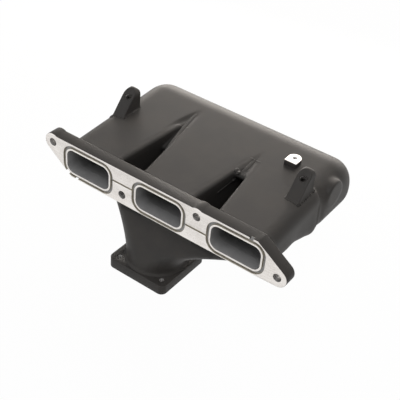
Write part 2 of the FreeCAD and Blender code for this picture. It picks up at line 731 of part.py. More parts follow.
def tube(name, outer, inner, length):
    """A threaded insert standing on the origin."""
    shell = doc.addObject("Part::Cylinder", name + "_outside")
    bind(shell, Radius=outer, Height=length)
    bore = doc.addObject("Part::Cylinder", name + "_bore")
    bind(bore, Radius=inner, Height=length)
    return cut(name, shell, bore)


def inserts_at(name, spots, outer, inner, length):
    """The same insert at several spots of the head frame, as one node."""
    tubes = []
    for index, spot in enumerate(spots, start=1):
        piece = tube(f"{name}_{index}", outer, inner, length)
        place(piece, *spot)
        tubes.append(piece)
    return group(name, tubes)


# ---------------------------------------------------------------- lugs and boss

LUG_BASE = top_at(LUG_FRONT)
BOSS_TOP = f"({top_at(BOSS_Y)} + Size.boss_rise)"


def lean_back(target):
    """Turn an object's Z axis onto the lug face's normal."""
    target.Placement.Rotation = FreeCAD.Rotation(FreeCAD.Vector(1, 0, 0), 1)
    target.setExpression("Placement.Rotation.Angle", "90 - Size.lug_lean")


def on_face(up, depth):
    """Height and depth coordinates of a point up the leaning face and into the lug."""
    y = f"{LUG_FRONT} + ({up}) * sin(Size.lug_lean) + ({depth}) * cos(Size.lug_lean)"
    z = f"{LUG_BASE} + ({up}) * cos(Size.lug_lean) - ({depth}) * sin(Size.lug_lean)"
    return y, z


def face_disc(name, x, up, radius, depth):
    """A cylinder square to the lug face, sunk to a depth below it."""
    disc = doc.addObject("Part::Cylinder", name)
    bind(disc, Radius=radius, Height=depth)
    lean_back(disc)
    place(disc, x, *on_face(up, depth))
    return disc


def lug(name, x, skin):
    """A leaning ramp with a round top, its rear side upright, standing on the skin."""
    top = f"({LUG_BASE} + {LUG_RISE})"
    root = f"({LUG_BASE} - Size.lug_sink)"
    round_level = f"({top} - Size.lug_width / 2)"
    sides = (f"{x} - Size.lug_width / 2", f"{x} + Size.lug_width / 2")
    ramp = prism(name + "_ramp", *sides, [
        (f"{LUG_FRONT} - Size.lug_sink * tan(Size.lug_lean)", root),
        (f"{LUG_FRONT} + {LUG_RISE} * tan(Size.lug_lean)", top),
        (f"{LUG_BACK} - Size.lug_ease", top), (LUG_BACK, f"{top} - Size.lug_ease"),
        (LUG_BACK, root)])
    depth = (f"{LUG_FRONT} - Size.over", f"{LUG_BACK} + Size.over")
    round_top = doc.addObject("Part::Cylinder", name + "_round_top")
    bind(round_top, Radius="Size.lug_width / 2", Height=f"({depth[1]}) - ({depth[0]})")
    round_top.Placement.Rotation = FreeCAD.Rotation(FreeCAD.Vector(1, 0, 0), -90)
    place(round_top, x, depth[0], round_level)
    below = block(name + "_below", sides, depth, (root, round_level))
    outline = fuse(name + "_outline", [round_top, below])
    shaped = cut(name + "_shaped", common(name + "_solid", ramp, outline), skin)
    hole = face_disc(name + "_hole", x, "Size.lug_hole_up", "Size.lug_drill / 2",
                     "Size.lug_drill_depth")
    seat(cut(name, shaped, hole))


def lug_insert(name, x):
    piece = tube(name, "Size.lug_drill / 2", "Size.thread_hole / 2", "Size.insert_length")
    lean_back(piece)
    place(piece, x, *on_face("Size.lug_hole_up", "Size.insert_length"))
    return piece


def bracket_boss(skin):
    body = new_body("boss_solid")
    base = f"{top_at(BOSS_FRONT)} - Size.plenum_wall / 2"
    half = "Size.boss_width / 2"
    straight = sketch_on(body, "boss_straight", "XY_Plane", base)
    draw_polygon(straight, [(f"{BOSS_X} - {half}", BOSS_FRONT),
                            (f"{BOSS_X} + {half}", BOSS_FRONT),
                            (f"{BOSS_X} + {half}", BOSS_Y),
                            (f"{BOSS_X} - {half}", BOSS_Y)])
    pad(body, straight, f"{BOSS_TOP} - ({base})")
    rounded = sketch_on(body, "boss_round", "XY_Plane", base)
    draw_circle(rounded, BOSS_X, BOSS_Y, half)
    pad(body, rounded, f"{BOSS_TOP} - ({base})")
    drilled = sketch_on(body, "boss_drilled", "XY_Plane", BOSS_TOP)
    draw_circle(drilled, BOSS_X, BOSS_Y, "Size.boss_drill / 2")
    pocket(body, drilled, "Size.boss_depth")
    seat(cut("bracket_boss", body, skin))
    piece = tube("boss_insert", "Size.boss_drill / 2", "Size.boss_thread / 2", "Size.boss_depth")
    seat(piece, BOSS_X, BOSS_Y, f"{BOSS_TOP} - Size.boss_depth")


# ---------------------------------------------------------------- build

head_flange()
outside_of, inside_of = runners()
skins = list(outside_of.values())
runner_web("runner_web_left", -1, "Size.web_left_drop", "Size.web_left_end", skins[:2])
runner_web("runner_web_right", 1, "Size.web_right_drop", "Size.web_right_end", skins[1:])
duct_outside = duct_solid("duct_outside", "0")
duct_inside = duct_solid("duct_inside", "Size.duct_wall")
plenum_outside = plenum(skins, inside_of, duct_inside)
inlet_duct(duct_outside, duct_inside)
throttle_flange()
seat(inserts_at("throttle_thread_inserts",
                [(x, y, "-Size.throttle_drop") for x, y in throttle_pattern()],
                "Size.throttle_tapped / 2", "Size.thread_hole / 2", "Size.throttle_thickness"))
skin = fuse("outer_skin", skins + [plenum_outside])
lug("lug_left", LUG_LEFT, skin)
lug("lug_right", LUG_RIGHT, skin)
seat(group("lug_inserts", [lug_insert("lug_insert_left", LUG_LEFT),
                           lug_insert("lug_insert_right", LUG_RIGHT)]))
bracket_boss(plenum_outside)
doc.recompute()

os.makedirs("parts", exist_ok=True)
broken = [item.Name for item in doc.Objects if {"Invalid", "Error"} & set(item.State)]
if broken:
    raise RuntimeError("these features failed: " + ", ".join(broken))
for piece in NODES:
    shape = piece.Shape
    if shape.isNull() or not shape.isValid() or not shape.Solids:
        raise RuntimeError(piece.Name + " has no valid solid")
    shape.exportStep(f"parts/{piece.Name}.step")
    print(f"{piece.Name}: {len(shape.Solids)} solid, {shape.Volume / 1000:.2f} cm3")
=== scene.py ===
import json
import math

import bmesh
import bpy
import numpy as np
from mathutils import Matrix, Vector


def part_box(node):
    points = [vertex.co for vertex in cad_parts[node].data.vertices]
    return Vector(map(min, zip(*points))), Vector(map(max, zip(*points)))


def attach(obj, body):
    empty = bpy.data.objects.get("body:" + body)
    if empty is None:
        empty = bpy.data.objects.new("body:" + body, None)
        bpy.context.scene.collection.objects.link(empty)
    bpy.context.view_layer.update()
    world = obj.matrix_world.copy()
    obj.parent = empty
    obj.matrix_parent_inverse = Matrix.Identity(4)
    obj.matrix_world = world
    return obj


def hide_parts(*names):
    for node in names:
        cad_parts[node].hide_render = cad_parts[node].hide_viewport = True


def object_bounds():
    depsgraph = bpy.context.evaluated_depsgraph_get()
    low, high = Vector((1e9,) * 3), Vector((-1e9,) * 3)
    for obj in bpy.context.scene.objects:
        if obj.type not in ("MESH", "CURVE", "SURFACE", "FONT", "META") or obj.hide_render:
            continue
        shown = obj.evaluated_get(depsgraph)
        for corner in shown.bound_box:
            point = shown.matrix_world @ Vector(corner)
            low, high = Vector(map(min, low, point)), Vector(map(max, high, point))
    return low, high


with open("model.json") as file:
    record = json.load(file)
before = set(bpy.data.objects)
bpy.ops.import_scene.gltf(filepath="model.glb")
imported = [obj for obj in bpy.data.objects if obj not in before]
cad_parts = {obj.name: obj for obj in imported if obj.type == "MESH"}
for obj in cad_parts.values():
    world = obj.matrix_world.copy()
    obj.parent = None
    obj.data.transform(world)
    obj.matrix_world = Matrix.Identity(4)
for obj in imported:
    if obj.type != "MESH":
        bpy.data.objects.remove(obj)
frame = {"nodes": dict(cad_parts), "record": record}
cad_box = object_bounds()
NODES = frame["nodes"]
MOUNTS = {mount["name"]: mount for mount in frame["record"]["mounts"]}
MM = 0.001

# Sizes are in millimetres in the head frame, whose origin is the centre of the middle port on
# the head face: X runs along the flange, Y towards the plenum and Z up.
PITCH = 92.0
PORT_HALF_WIDTH = 28.35
PORT_HALF_HEIGHT = 13.8
PORT_CORNER = 8.5
BOLT_HIGH = 12.5
BOLT_LOW = -8.5
BOLTS = ((-140.0, BOLT_HIGH), (46.0, BOLT_HIGH), (-46.0, BOLT_LOW), (140.0, BOLT_LOW))
flange_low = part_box("head_flange")[0]
runner_low, runner_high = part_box("runner_2")
HEAD = Vector(((runner_low.x + runner_high.x) / 2, flange_low.y,
               MOUNTS["head_bolts_high"]["pos_m"][2] - BOLT_HIGH * MM))

# Stations along Y, and the runners' flat top, which rises towards the plenum.
FLANGE_BACK = 15.0
BEADS_BACK = 16.7
PLATE_FRONT = 100.0
PLATE_BACK = 104.0
RUNNER_LENGTH = PLATE_FRONT - FLANGE_BACK
RUNNER_TOP = 20.8
TOP_SLOPE = 5.4 / RUNNER_LENGTH

# Where the skin is parted. The webs' sides lean, from the flange to the plate, and the
# runners' underside falls by so much over the same way.
WEB_AT_FLANGE = 33.6
WEB_AT_PLATE = 43.9
UNDER_FALL = 12.2
RUNNER_UNDERSIDE = -19.3
ROOF_UNDERSIDE = -21.8
DUCT_MOUTH = -33.0
SEAM = -5.0
LEFT_CAP = (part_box("plenum_end_left")[1].x - HEAD.x) / MM
RIGHT_CAP = (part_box("plenum_end_right")[0].x - HEAD.x) / MM
THROTTLE_Y = -HEAD.y / MM
NECK = (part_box("throttle_flange")[1].z - HEAD.z) / MM

# The two valleys between the runners: their edges at the flange, and how far each edge
# moves in on the way to the plenum.
VALLEY_INNER = 32.35
VALLEY_OUTER = 59.65
VALLEY_TAPER = 11.05


def at(x, y, z):
    """A point of the head frame, in millimetres, as a place in the row frame."""
    return HEAD + Vector((x, y, z)) * MM


def top_at(y):
    """Height of the flat top of the runners and the plenum at depth y, in the head frame."""
    return RUNNER_TOP + (y - FLANGE_BACK) * TOP_SLOPE


# ------------------------------------------------------------------ finishes

class Wire:
    """A shader socket that can be used in sums."""

    def __init__(self, finish, socket):
        self.finish = finish
        self.socket = socket

    def maths(self, operation, first, second):
        """One sum of two wires or values."""
        return self.finish.node("ShaderNodeMath", {"operation": operation}, {0: first, 1: second})

    def __add__(self, other):
        return self.maths("ADD", self, other)

    def __sub__(self, other):
        return self.maths("SUBTRACT", self, other)

    def __rsub__(self, other):
        return self.maths("SUBTRACT", other, self)

    def __mul__(self, other):
        return self.maths("MULTIPLY", self, other)

    def __truediv__(self, other):
        return self.maths("DIVIDE", self, other)

    def largest(self, other):
        return self.maths("MAXIMUM", self, other)

    def between(self, low, high):
        """0 at or below low, 1 at or above high, smooth in the middle."""
        return self.finish.node("ShaderNodeMapRange", {"interpolation_type": "SMOOTHSTEP"},
                                {"Value": self, "From Min": low, "From Max": high})


class Finish:
    """A material with one Principled shader, built node by node."""

    def __init__(self, name):
        self.material = bpy.data.materials.new(name)
        self.material.use_nodes = True
        self.tree = self.material.node_tree
        self.tree.nodes.clear()
        self.shader = self.tree.nodes.new("ShaderNodeBsdfPrincipled")
        output = self.tree.nodes.new("ShaderNodeOutputMaterial")
        self.tree.links.new(self.shader.outputs[0], output.inputs["Surface"])
        self.place = self.node("ShaderNodeTexCoord", out="Object")

    def node(self, kind, settings=None, sockets=None, out=0):
        """Add a shader node and give one of its outputs."""
        made = self.tree.nodes.new(kind)
        for name, value in (settings or {}).items():
            setattr(made, name, value)
        for name, value in (sockets or {}).items():
            self.feed(made.inputs[name], value)
        return Wire(self, made.outputs[out])

    def feed(self, socket, value):
        """Link a wire to a socket, or write a plain value into it."""
        if isinstance(value, Wire):
            self.tree.links.new(value.socket, socket)
        else:
            socket.default_value = value

    def surface(self, **sockets):
        """Feed the shader's own sockets, named with underscores for spaces."""
        for name, value in sockets.items():
            self.feed(self.shader.inputs[name.replace("_", " ")], value)

    def stretched(self, scale, turn=(0, 0, 0)):
        """Object coordinates with one scale for each axis."""
        return self.node("ShaderNodeMapping", None,
                         {"Vector": self.place, "Scale": scale, "Rotation": turn})

    def noise(self, scale, detail=2.0, where=None, roughness=0.5):
        return self.node("ShaderNodeTexNoise", {"noise_dimensions": "3D"},
                         {"Vector": where or self.place, "Scale": scale, "Detail": detail,
                          "Roughness": roughness})

    def mixed(self, amount, low, high):
        return self.node("ShaderNodeMix", {"data_type": "RGBA"},
                         {"Factor": amount, "A": low, "B": high}, out=2)

    def bump(self, height, distance, strength=1.0, under=None):
        sockets = {"Height": height, "Distance": distance, "Strength": strength}
        if under is not None:
            sockets["Normal"] = under
        return self.node("ShaderNodeBump", None, sockets)

    def painted_valley_shade_mask(self):
        """Where shade is painted into the coat: 1 well down between two runners, 0 on top of them
        and everywhere else.
        """
        def part(axis):
            return self.node("ShaderNodeSeparateXYZ", None, {"Vector": self.place}, out=axis)
        across = part("X") - HEAD.x
        across = across.largest(across * -1.0) / MM
        along = (part("Y") - HEAD.y) / MM - FLANGE_BACK
        narrower = along * (VALLEY_TAPER / RUNNER_LENGTH)
        above_inner = across - narrower - VALLEY_INNER
        below_outer = VALLEY_OUTER - across - narrower
        depth = (HEAD.z - part("Z")) / MM + RUNNER_TOP + along * TOP_SLOPE
        return (above_inner.between(-0.6, 0.8) * below_outer.between(-0.6, 0.8)
                * depth.between(0.8, 3.6) * along.between(-0.6, 0.6))

    def near(self, point, radius):
        """1 inside a small ball round a point, 0 outside it."""
        gap = self.node("ShaderNodeVectorMath", {"operation": "DISTANCE"},
                        {0: self.place, 1: tuple(point)}, out="Value")
        return 1 - gap.between(radius * 0.7, radius)


def grey(level, warmth=0.0):
    """A grey, drawn a little from blue to red by its warmth."""
    return (level * (1 + warmth), level, level * (1 - warmth), 1.0)


def powder_coat(name, level=0.05, chips=()):
    """Satin black powder coat: a fine pebble, slight clouding, a few chips to bare metal, and
    painted shade deep in the valleys.
    """
    finish = Finish(name)
    clouds = finish.noise(35.0, 3.0)
    pebble = finish.noise(2600.0, 2.0)
    peel = finish.noise(420.0, 1.0)
    darker, lighter = grey(level * 0.94, 0.06), grey(level * 1.08, 0.08)
    colour = finish.mixed(clouds.between(0.3, 0.7), darker, lighter)
    # painted shade: deep in the valleys between the runners, where shade falls, the coat is
    # darkened to under half its level
    colour = finish.mixed(finish.painted_valley_shade_mask(), colour, grey(level * 0.45, 0.06))
    rough = clouds * 0.08 + pebble * 0.06 + 0.42
    metal = 0.0
    if chips:
        bare = finish.near(*chips[0])
        for chip in chips[1:]:
            bare = bare.largest(finish.near(*chip))
        colour = finish.mixed(bare, colour, grey(0.85, 0.02))
        metal = bare
    normal = finish.bump(peel, 0.05 * MM, 0.35)
    normal = finish.bump(pebble, 0.04 * MM, 0.5, normal)
    finish.surface(Base_Color=colour, Roughness=rough, Metallic=metal, Normal=normal,
                   Specular_IOR_Level=0.15)
    return finish.material


def milled_metal(name, level=0.81):
    """Bare aluminium with fine cutter marks that run along the flange."""
    finish = Finish(name)
    lay = finish.stretched((60.0, 1.0, 900.0), (0, math.radians(8), 0))
    marks = finish.noise(1.0, 3.0, lay)
    grain = finish.noise(1500.0, 3.0)
    clouds = finish.noise(60.0, 3.0)
    stain = finish.noise(700.0, 5.0, roughness=0.7)
    tone = clouds * 0.2 + stain * 0.4 + marks * 0.25 + grain * 0.15
    colour = finish.mixed(tone.between(0.38, 0.56), grey(level * 0.78, 0.06), grey(level, 0.04))
    finish.surface(Base_Color=colour, Metallic=1.0, Roughness=marks * 0.15 + grain * 0.1 + 0.32,
                   Normal=finish.bump(marks * 0.6 + grain * 0.4, 0.03 * MM, 0.6))
    return finish.material


def groove_metal(name):
    """Dull khaki grey left in the bottom of the seal grooves."""
    finish = Finish(name)
    stain = finish.noise(220.0, 4.0)
    colour = finish.mixed(stain.between(0.3, 0.7), (0.30, 0.27, 0.21, 1), (0.44, 0.41, 0.34, 1))
    finish.surface(Base_Color=colour, Metallic=0.35, Roughness=0.6,
                   Normal=finish.bump(stain, 0.05 * MM, 0.4))
    return finish.material


def port_metal(name):
    """Rough charcoal metal inside the ports."""
    finish = Finish(name)
    grain = finish.noise(1300.0, 4.0)
    clouds = finish.noise(90.0, 3.0)
    colour = finish.mixed(grain * 0.5 + clouds * 0.5, grey(0.2), grey(0.46, 0.01))
    finish.surface(Base_Color=colour, Metallic=0.45, Roughness=0.5,
                   Normal=finish.bump(grain, 0.08 * MM, 0.6))
    return finish.material


def drilled_metal(name):
    """The turned wall of a bolt hole."""
    finish = Finish(name)
    rings = finish.noise(1.0, 2.0, finish.stretched((90.0, 1600.0, 90.0)))
    finish.surface(Base_Color=finish.mixed(rings, grey(0.34, 0.02), grey(0.5, 0.02)), Metallic=0.8,
                   Roughness=0.42, Normal=finish.bump(rings, 0.03 * MM, 0.4))
    return finish.material


def bright_thread(name):
    """Bare metal with the fine rings of a screw thread."""
    finish = Finish(name)
    grain = finish.noise(900.0, 3.0)
    finish.surface(Base_Color=finish.mixed(grain, grey(0.3, 0.02), grey(0.6, 0.02)), Metallic=1.0,
                   Roughness=0.32, Normal=finish.bump(grain, 0.05 * MM, 0.5))
    return finish.material


# ------------------------------------------------------------------ mesh helpers

def welded_copy(name):
    """A CAD node's mesh as a closed bmesh."""
    mesh = bmesh.new()
    mesh.from_mesh(NODES[name].data)
    bmesh.ops.remove_doubles(mesh, verts=mesh.verts, dist=1e-6)
    return mesh


def drawn_out(mesh, level, direction, length):
    """Pull the flat end that lies at a level along an axis further out."""
    axis = Vector(direction)
    end = [face for face in mesh.faces
           if abs(face.normal.dot(axis)) > 0.99
           and abs(face.calc_center_median().dot(axis) - level) < 2e-5]
    made = bmesh.ops.extrude_face_region(mesh, geom=end)
    moved = [item for item in made["geom"] if isinstance(item, bmesh.types.BMVert)]
    bmesh.ops.translate(mesh, verts=moved, vec=axis * length)
    bmesh.ops.delete(mesh, geom=end, context="FACES")


def object_of(mesh, name):
    """A new object at the origin, holding this bmesh."""
    data = bpy.data.meshes.new(name)
    mesh.to_mesh(data)
    mesh.free()
    made = bpy.data.objects.new(name, data)
    bpy.context.scene.collection.objects.link(made)
    return made


def settled(thing):
    """Apply an object's modifiers to its mesh."""
    bpy.context.view_layer.update()
    result = bpy.data.meshes.new_from_object(
        thing.evaluated_get(bpy.context.evaluated_depsgraph_get()))
    thing.modifiers.clear()
    old = thing.data
    thing.data = result
    bpy.data.meshes.remove(old)
    return thing


def voxelled(thing, size):
    """Join overlapping solids into one even skin."""
    modifier = thing.modifiers.new("skin", "REMESH")
    modifier.mode = "VOXEL"
    modifier.voxel_size = size
    return settled(thing)


def eased(thing, rounds, share=0.5):
    """Draw each point towards the mean of its neighbours, which rounds edges and corners."""
    mesh = thing.data
    count = len(mesh.vertices)
    points = np.empty(count * 3)
    mesh.vertices.foreach_get("co", points)
    points = points.reshape(-1, 3)
    ends = np.empty(len(mesh.edges) * 2, np.int64)
    mesh.edges.foreach_get("vertices", ends)
    first, second = ends.reshape(-1, 2).T
    valence = np.bincount(ends, minlength=count)[:, None]
    for _ in range(rounds):
        total = np.empty_like(points)
        for axis in range(3):
            total[:, axis] = (np.bincount(first, points[second, axis], count)
                              + np.bincount(second, points[first, axis], count))
        points += share * (total / valence - points)
    mesh.vertices.foreach_set("co", points.ravel())
    mesh.update()
    return thing


def taken_in(whole, part):
    """Add one bmesh to another."""
    data = bpy.data.meshes.new("part")
    part.to_mesh(data)
    part.free()
    whole.from_mesh(data)
    bpy.data.meshes.remove(data)


def half(mesh, point, normal):
    """The part of a bmesh behind a plane, closed by a flat cap."""
    kept = mesh.copy()
    everything = kept.verts[:] + kept.edges[:] + kept.faces[:]
    cut = bmesh.ops.bisect_plane(kept, geom=everything, plane_co=point, plane_no=normal,
                                 clear_outer=True)
    rim = [item for item in cut["geom_cut"] if isinstance(item, bmesh.types.BMEdge)]
    if rim:
        cap = bmesh.ops.triangle_fill(kept, edges=rim, use_beauty=False, normal=normal)
        for face in (item for item in cap["geom"] if isinstance(item, bmesh.types.BMFace)):
            face.smooth = False
            if face.normal.dot(Vector(normal)) < 0:
                face.normal_flip()
        for edge in rim:
            edge.smooth = False
    return kept


def parted(mesh, point, normal):
    """Both halves of a bmesh at a plane: behind it, and in front of it."""
    behind = half(mesh, point, normal)
    ahead = half(mesh, point, -Vector(normal))
    mesh.free()
    return behind, ahead


def finished(thing, node, slot, *materials):
    """Dress a piece, set it on the body and let it stand for its CAD node."""
    if thing.data.materials:  # clearing an empty list would still reset the faces' finishes
        thing.data.materials.clear()
    for material in materials:
        thing.data.materials.append(material)
    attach(thing, "root")
    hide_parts(node)
    return thing


# ------------------------------------------------------------------ the cast-looking body

RUNNERS = ("runner_1", "runner_2", "runner_3")
INTO_HEAD_FLANGE = 3 * MM
INTO_THROTTLE_FLANGE = 8 * MM


def body_source():
    """All the coated walls together, drawn on into the two flanges."""
    whole = bmesh.new()
    names = [*RUNNERS, "runner_web_left", "runner_web_right", "runner_plate", "runner_welds",
             "plenum_upper_shell", "plenum_lower_shell", "plenum_end_left", "plenum_end_right",
             "inlet_duct_front", "inlet_duct_rear", "duct_roof", "throttle_flange_weld"]
    for name in names:
        part = welded_copy(name)
        if name in RUNNERS:
            drawn_out(part, -at(0, FLANGE_BACK, 0).y, (0, -1, 0), INTO_HEAD_FLANGE)
        if name in ("inlet_duct_front", "inlet_duct_rear"):
            drawn_out(part, -at(0, 0, NECK).z, (0, 0, -1), INTO_THROTTLE_FLANGE)
        taken_in(whole, part)
    return whole


def parted_runners(runners):
    """The three runners and the two webs between them."""
    found = {}
    side_wall = Vector((WEB_AT_PLATE - WEB_AT_FLANGE, RUNNER_LENGTH, 0))
    across = Vector((side_wall.y, -side_wall.x, 0)).normalized()
    for side, web, outer in ((-1, "runner_web_left", "runner_1"),
                             (1, "runner_web_right", "runner_3")):
        near_point = at(side * WEB_AT_FLANGE, FLANGE_BACK, 0)
        near_normal = Vector((side * across.x, across.y, 0))
        far_point = at(side * (PITCH - WEB_AT_FLANGE), FLANGE_BACK, 0)
        far_normal = Vector((side * across.x, -across.y, 0))
        runners, outside = parted(runners, near_point, near_normal)
        between, beyond = parted(outside, far_point, far_normal)
        found[web] = [between]
        found[outer] = [beyond]
    found["runner_2"] = [runners]
    found["runner_web_left"].append(ridge(LEFT_RIDGE))
    found["runner_web_right"] += [ridge(RIGHT_RIDGE), weld_blobs()]
    return found


def parted_plenum(behind):
    """The runner plate, the two end caps and the two shells."""
    plate, chamber = parted(behind, at(0, PLATE_BACK, 0), (0, 1, 0))
    left, chamber = parted(chamber, at(LEFT_CAP, 0, 0), (1, 0, 0))
    chamber, right = parted(chamber, at(RIGHT_CAP, 0, 0), (1, 0, 0))
    lower, upper = parted(chamber, at(0, 0, SEAM), (0, 0, 1))
    return {"runner_plate": [plate], "plenum_end_left": [left], "plenum_end_right": [right],
            "plenum_lower_shell": [lower], "plenum_upper_shell": [upper]}


def body_pieces(coat, port):
    """The smoothed skin, parted again into the pieces it is welded up from."""
    skin = eased(voxelled(object_of(body_source(), "body_skin"), 1.1 * MM), 14)
    sculpted(skin)
    for polygon in skin.data.polygons:
        polygon.use_smooth = True
    rest = bmesh.new()
    rest.from_mesh(skin.data)
    bpy.data.objects.remove(skin)

    slope = math.atan2(UNDER_FALL, RUNNER_LENGTH)
    under = (0, math.sin(slope), math.cos(slope))
    rest = half(rest, at(0, 0, NECK), (0, 0, -1))
    runners, behind = parted(rest, at(0, PLATE_FRONT, 0), (0, 1, 0))
    duct, runners = parted(runners, at(0, FLANGE_BACK, RUNNER_UNDERSIDE), under)
    runners = half(runners, at(0, FLANGE_BACK - 0.5, 0), (0, -1, 0))
    mouth, behind = parted(behind, at(0, 0, DUCT_MOUTH), (0, 0, 1))
    duct, roof = parted(duct, at(0, FLANGE_BACK, ROOF_UNDERSIDE), under)
    front, rear = parted(duct, at(0, THROTTLE_Y, 0), (0, 1, 0))
    beads, runners = parted(runners, at(0, BEADS_BACK, 0), (0, 1, 0))
    found = {"duct_roof": [roof], "inlet_duct_front": [front], "inlet_duct_rear": [rear, mouth],
             "runner_welds": [beads], **parted_runners(runners), **parted_plenum(behind)}

    for node, (whole, *extras) in found.items():
        for extra in extras:
            taken_in(whole, extra)
        thing = finished(object_of(whole, node + "_skin"), node, "coated_body", coat, port)
        if node in RUNNERS or node == "runner_welds":
            bare_inside(thing)


def bare_inside(runner):
    """Give the faces that look at a runner's middle line the rough port metal."""
    fall = 0.03
    seen_depth = 70.0
    for polygon in runner.data.polygons:
        place = (polygon.center - HEAD) / MM
        centre = PITCH * min(max(round(place.x / PITCH), -1), 1)
        middle = Vector((centre, place.y, -fall * (place.y - FLANGE_BACK)))
        at_flange = place.y < FLANGE_BACK + 0.1
        if place.y < seen_depth and (at_flange or polygon.normal.dot(middle - place) > 0):
            polygon.material_index = 1


def bump(value, middle, reach):
    """1 at the middle, falling smoothly to nothing a reach or two away."""
    return math.exp(-((value - middle) / reach) ** 2)


def ramp(value, low, high):
    """0 at low, 1 at high, straight in between."""
    return min(max((value - low) / (high - low), 0.0), 1.0)


def end_dip(out, y):
    """The dip round each end, where the runner plate meets the plenum's end caps."""
    return 1.4 * bump(y, 103.5, 5.0) * ramp(out, 116.0, 122.0)


def side_flare(out, y, z):
    """How the outer runners draw in low on their sides, then flare before the plate."""
    along = 2.0 * bump(y, 96.0, 9.0) - 2.2 * bump(y, 62.0, 14.0)
    return along * (ramp(out, 92.0, 116.0) * ramp(-z, -6.0, 12.0))


def left_hollow(x, y, z):
    """The left valley's run-out in the top of the plenum, steeper on its left."""
    line = -56.0 + (y - 96.0) * 0.19
    width = 1.9 if x < line else 4.5
    return 2.5 * bump(x, line, width) * bump(y, 110.0, 13.0) * ramp(z, 16.0, 20.0)


def sculpted(skin):
    """Press the soft hand-dressed shapes into the smooth skin."""
    middle = (LEFT_CAP + RIGHT_CAP) / 2
    for vertex in skin.data.vertices:
        x, y, z = (vertex.co - HEAD) / MM
        side = math.copysign(1.0, x)
        flare = side_flare(abs(x), y, z)
        across, lift = squared_edge(abs(x), y, z)
        across += 0.4 * flare - end_dip(abs(x - middle), y)
        down = flare + left_hollow(x, y, z)
        vertex.co += Vector((side * across, 0.0, lift - down)) * MM


def squared_edge(across, y, z):
    """How far to move a point so that a valley's round upper edge grows squarer."""
    share = (y - FLANGE_BACK) / RUNNER_LENGTH
    if not 0 < share < 1:
        return 0.0, 0.0
    radius = 8.0 - 3.0 * share
    up = (z - top_at(y)) / radius + 1
    inner_edge = VALLEY_INNER + VALLEY_TAPER * share
    outer_edge = VALLEY_OUTER - VALLEY_TAPER * share
    for edge, facing in ((inner_edge, 1), (outer_edge, -1)):
        out = facing * (across - edge) / radius + 1
        if 0 < out < 1.3 and 0 < up < 1.3:
            grow = math.hypot(out, up) / (out ** 4 + up ** 4) ** 0.25 - 1
            return facing * radius * out * grow, radius * up * grow
    return 0.0, 0.0


# Stations along the crest of each valley's ridge: across, depth, half width and drop.
LEFT_RIDGE = ((-36.6, 58.0, 2.6, 3.4), (-38.5, 68.0, 3.1, 2.0), (-41.6, 83.0, 3.4, 1.5),
              (-45.2, 100.0, 3.2, 1.0), (-47.7, 114.0, 2.7, 0.7), (-48.9, 128.0, 1.8, 0.5))
RIGHT_RIDGE = ((45.3, 74.0, 3.6, 2.2), (45.0, 84.0, 3.3, 1.0), (44.6, 96.0, 2.9, 0.6),
               (44.6, 108.0, 2.3, 0.4), (45.0, 116.0, 1.5, 0.4))


def ridge(stations, count=40, spokes=14, root=8.0):
    """A low rounded ridge along the bottom of a valley, with rounded ends."""
    table = np.array(stations)
    depths = np.linspace(table[0, 1], table[-1, 1], count)
    mesh = bmesh.new()
    rings = []
    for index, y in enumerate(depths):
        x, half, drop = (np.interp(y, table[:, 1], table[:, column]) for column in (0, 2, 3))
        near_end = min(y - depths[0], depths[-1] - y) / half
        ease = math.sqrt(1 - (1 - min(near_end, 1.0)) ** 2) * 0.9 + 0.1
        crown = top_at(y) - drop - half * 0.8 * (1 - ease)
        half *= ease
        ring = []
        for step in range(spokes + 1):
            angle = math.pi * step / spokes
            ring.append((x + half * math.cos(angle), crown - 0.7 * half * (1 - math.sin(angle))))
        ring += [(x - half, crown - root), (x + half, crown - root)]
        rings.append([mesh.verts.new(at(across, y, height)) for across, height in ring])
    size = len(rings[0])
    for first, second in zip(rings, rings[1:]):
        for spot in range(size):
            after = (spot + 1) % size
            face = mesh.faces.new((first[spot], first[after], second[after], second[spot]))
            face.smooth = True
    mesh.faces.new(rings[0])
    mesh.faces.new(rings[-1])
    bmesh.ops.recalc_face_normals(mesh, faces=mesh.faces)
    return mesh


def weld_blobs():
    """Uneven blobs and a low ridge of weld at the front of the right-hand web."""
    beads = [(39.5, 75.0, 23.6, 2.3), (43.0, 73.5, 22.8, 2.0), (40.5, 70.5, 14.6, 2.0)]
    beads += [(36.9 + 0.13 * (y - 50.0), y, 9.6 + 0.18 * (y - 50.0), 0.9)
              for y in np.linspace(49.0, 70.0, 16)]
    mesh = bmesh.new()
    for x, y, z, radius in beads:
        turn = Matrix.Translation(at(x, y, z)) @ Matrix.Diagonal((1.0, 1.7, 0.9, 1.0))
        bmesh.ops.create_icosphere(mesh, subdivisions=2, radius=radius * MM, matrix=turn)
    thing = eased(voxelled(object_of(mesh, "weld_blobs"), 0.35 * MM), 2)
    blobs = bmesh.new()
    blobs.from_mesh(thing.data)
    bpy.data.objects.remove(thing)
    for face in blobs.faces:
        face.smooth = True
    return blobs


# ------------------------------------------------------------------ crisp pieces

def bevelled(node, name, width, segments=2, first=None):
    """A CAD node with its sharp edges broken, some of them more than the rest."""
    mesh = welded_copy(node)
    bmesh.ops.dissolve_limit(mesh, angle_limit=math.radians(1.0), verts=mesh.verts,
                             edges=mesh.edges, delimit={"NORMAL"})
    if first:
        chosen, wider = first
        bmesh.ops.bevel(mesh, geom=[edge for edge in mesh.edges if chosen(edge)], offset=wider,
                        offset_type="OFFSET", segments=4, profile=0.5, affect="EDGES")
    thing = object_of(mesh, name)
    modifier = thing.modifiers.new("edges", "BEVEL")
    modifier.width = width
    modifier.segments = segments
    modifier.limit_method = "ANGLE"
    modifier.angle_limit = math.radians(30)
    modifier.harden_normals = False
    settled(thing)
    for polygon in thing.data.polygons:
        polygon.use_smooth = True
    thing.data.set_sharp_from_angle(angle=math.radians(32))
    return thing


